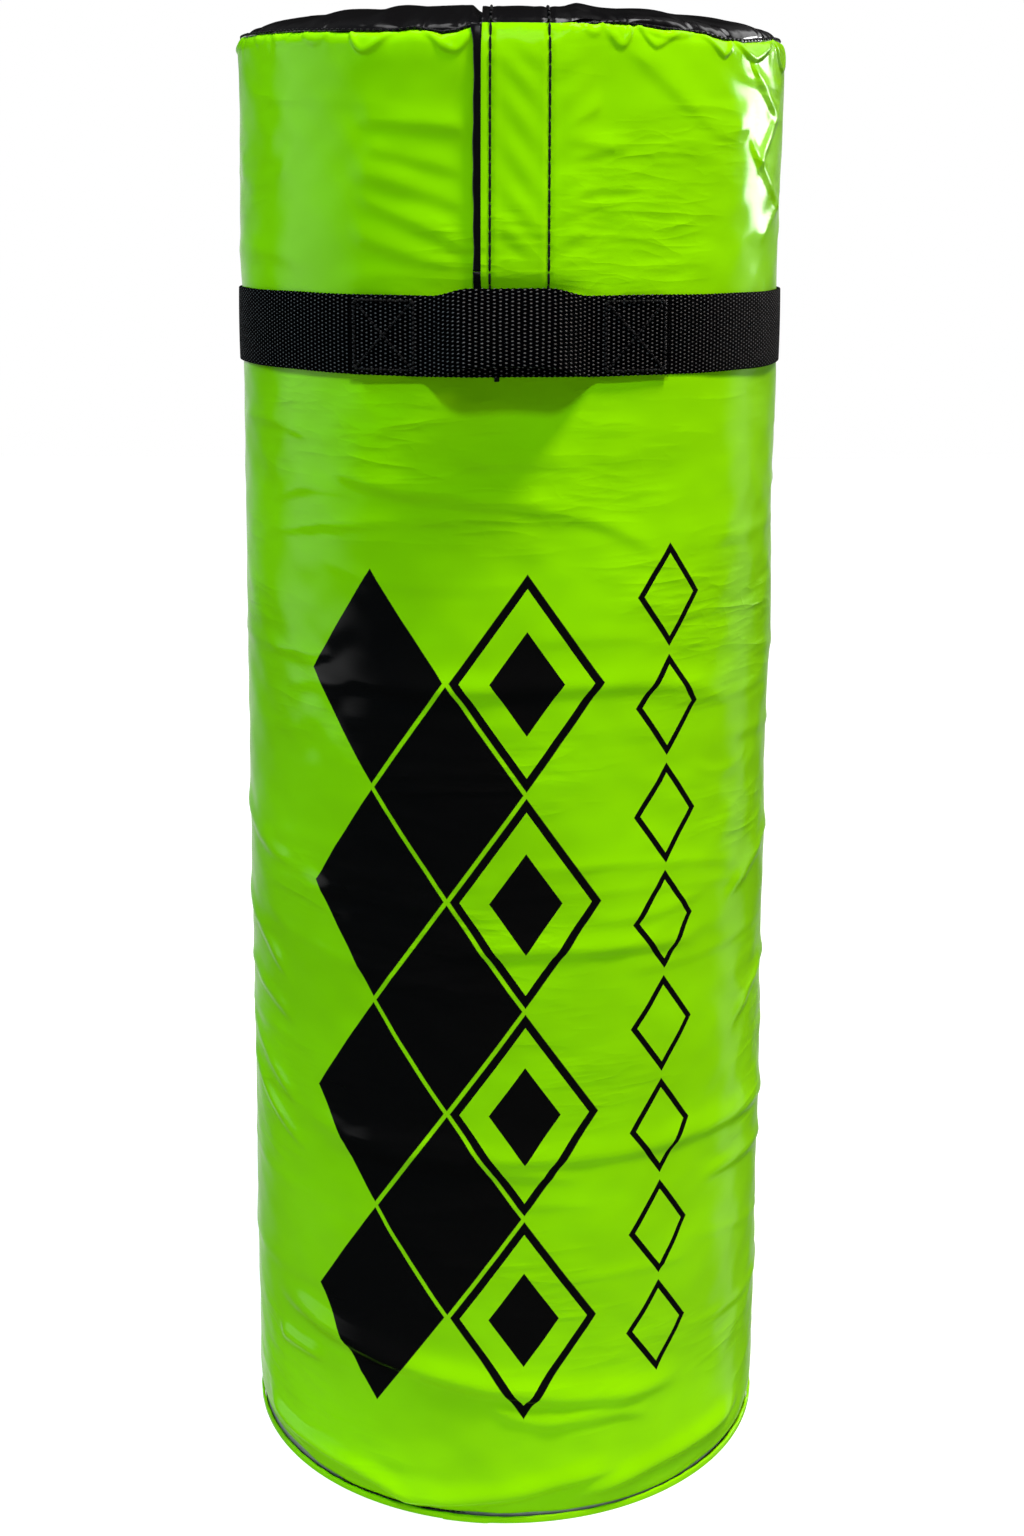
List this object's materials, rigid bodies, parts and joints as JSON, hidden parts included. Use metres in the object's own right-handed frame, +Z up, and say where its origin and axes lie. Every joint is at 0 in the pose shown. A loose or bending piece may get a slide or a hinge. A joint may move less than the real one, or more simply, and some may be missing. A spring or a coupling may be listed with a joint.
{
  "type": "tackling bag",
  "caption": "Upright foam-filled cylinder for tackling practice, with a domed lid, a webbing belt with a grab handle and a hook-and-loop closure strip.",
  "frame": {"origin": "centre of the bag's base, on the floor", "axes": "+Z up along the bag, -Y out of the front with the handle and the closure strip, +X to the right seen from the front"},
  "size_m": [0.3796, 0.4078, 1.027],
  "materials": {
    "lime_cover": "satin lime coated fabric",
    "black_cover": "glossy black coated fabric",
    "webbing": "woven black webbing",
    "thread": "twisted black thread",
    "hook_tape": "matte black hook tape",
    "loop_tape": "matte black loop tape",
    "firm_foam": "matte grey foam",
    "soft_foam": "matte cream foam"
  },
  "bodies": {
    "bag": {"foam_core": "firm_foam", "foam_wrap": "soft_foam", "base_pad": "firm_foam", "top_pad": "soft_foam", "cover_side": "lime_cover", "cover_base": "lime_cover", "base_binding": "lime_cover", "base_seam_thread": "thread", "back_seam_strip": "lime_cover", "back_seam_thread_left": "thread", "back_seam_thread_right": "thread", "lid_panel": "black_cover", "lid_welt": "black_cover", "lid_seam_thread": "thread", "hook_tape_front": "hook_tape", "hook_tape_lid": "hook_tape", "flap_root": "lime_cover", "lid_flap_root": "black_cover", "flap_tail": "lime_cover", "tail_edge_facing": "black_cover", "tail_stitch_outer": "thread", "tail_stitch_inner": "thread", "flap_end_tack": "thread", "belt": "webbing", "belt_joint_stitch": "thread", "handle_anchor_left": "webbing", "handle_anchor_right": "webbing", "handle_box_stitch_left": "thread", "handle_box_stitch_right": "thread"},
    "closure_flap": {"flap_front": "lime_cover", "flap_edge_facing": "black_cover", "loop_tape_front": "loop_tape", "flap_stitch_outer": "thread", "flap_stitch_inner": "thread"},
    "lid_flap": {"lid_flap_panel": "black_cover", "loop_tape_lid": "loop_tape", "lid_flap_stitch_outer": "thread", "lid_flap_stitch_inner": "thread"},
    "handle": {"handle_grip": "webbing"}
  },
  "joints": [
    {"name": "closure_flap_hinge", "type": "hinge", "parent": "bag", "child": "closure_flap", "pos_m": [0.02643, -0.18937, 0.92217], "axis": [0, 0, 1], "range_deg": [0, 120]},
    {"name": "lid_flap_hinge", "type": "hinge", "parent": "bag", "child": "lid_flap", "pos_m": [0.026, 0, 1.02539], "axis": [0, 1, 0], "range_deg": [0, 120]},
    {"name": "handle_hinge", "type": "hinge", "parent": "bag", "child": "handle", "pos_m": [0, -0.18, 0.808], "axis": [-1, 0, 0], "range_deg": [-38, 12]}
  ],
  "couplings": [
    {"joint": "lid_flap_hinge", "follows": "closure_flap_hinge", "ratio": 1}
  ]
}
